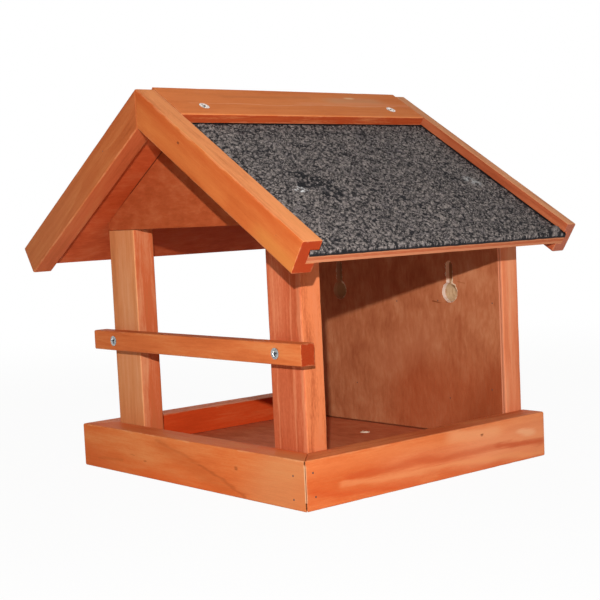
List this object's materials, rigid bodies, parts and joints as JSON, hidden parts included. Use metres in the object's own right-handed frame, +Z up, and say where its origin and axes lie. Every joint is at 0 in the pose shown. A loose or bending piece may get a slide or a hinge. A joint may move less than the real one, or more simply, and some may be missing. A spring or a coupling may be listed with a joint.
{
  "type": "bird table",
  "caption": "Wall-hung timber bird table: grooved tray with drain hole, posts, keyholed back panel, perch rail and felted pitched roof between grooved barge boards.",
  "frame": {"origin": "centre of the overall footprint, on the plane of the tray's underside", "axes": "+Z up; -Y to the open front with the perch; +Y into the wall that the rear faces rest on; +X along the tray's width to the right as seen from the front"},
  "size_m": [0.3526, 0.274, 0.2959],
  "materials": {
    "stained_rich": "satin red-brown stain on softwood",
    "stained_pale": "satin orange-brown stain on pale softwood",
    "stained_dark": "thin brown stain on plywood and rough rails",
    "mineral_felt": "charcoal mineral grit on bitumen roofing felt",
    "zinc_plate": "bright zinc plating"
  },
  "bodies": {
    "root": {"tray_board_front": "stained_rich", "post_front_left": "stained_rich", "post_front_right": "stained_rich", "post_rear_left": "stained_rich", "post_rear_right": "stained_rich", "tray_board_left": "stained_pale", "tray_board_right": "stained_pale", "barge_front_left": "stained_pale", "barge_front_right": "stained_pale", "barge_rear_left": "stained_pale", "barge_rear_right": "stained_pale", "ridge_board_left": "stained_pale", "ridge_board_right": "stained_pale", "perch_rail": "stained_pale", "tray_floor": "stained_dark", "rear_rail": "stained_dark", "hanging_rail": "stained_dark", "back_panel": "stained_dark", "gable_panel": "stained_dark", "roof_sheet_left": "stained_dark", "roof_sheet_right": "stained_dark", "roof_felt_left": "mineral_felt", "roof_felt_right": "mineral_felt", "perch_screw_left": "zinc_plate", "perch_screw_right": "zinc_plate", "ridge_screw_right_front": "zinc_plate", "ridge_screw_right_rear": "zinc_plate", "ridge_screw_left_front": "zinc_plate", "ridge_screw_left_rear": "zinc_plate"}
  },
  "joints": []
}
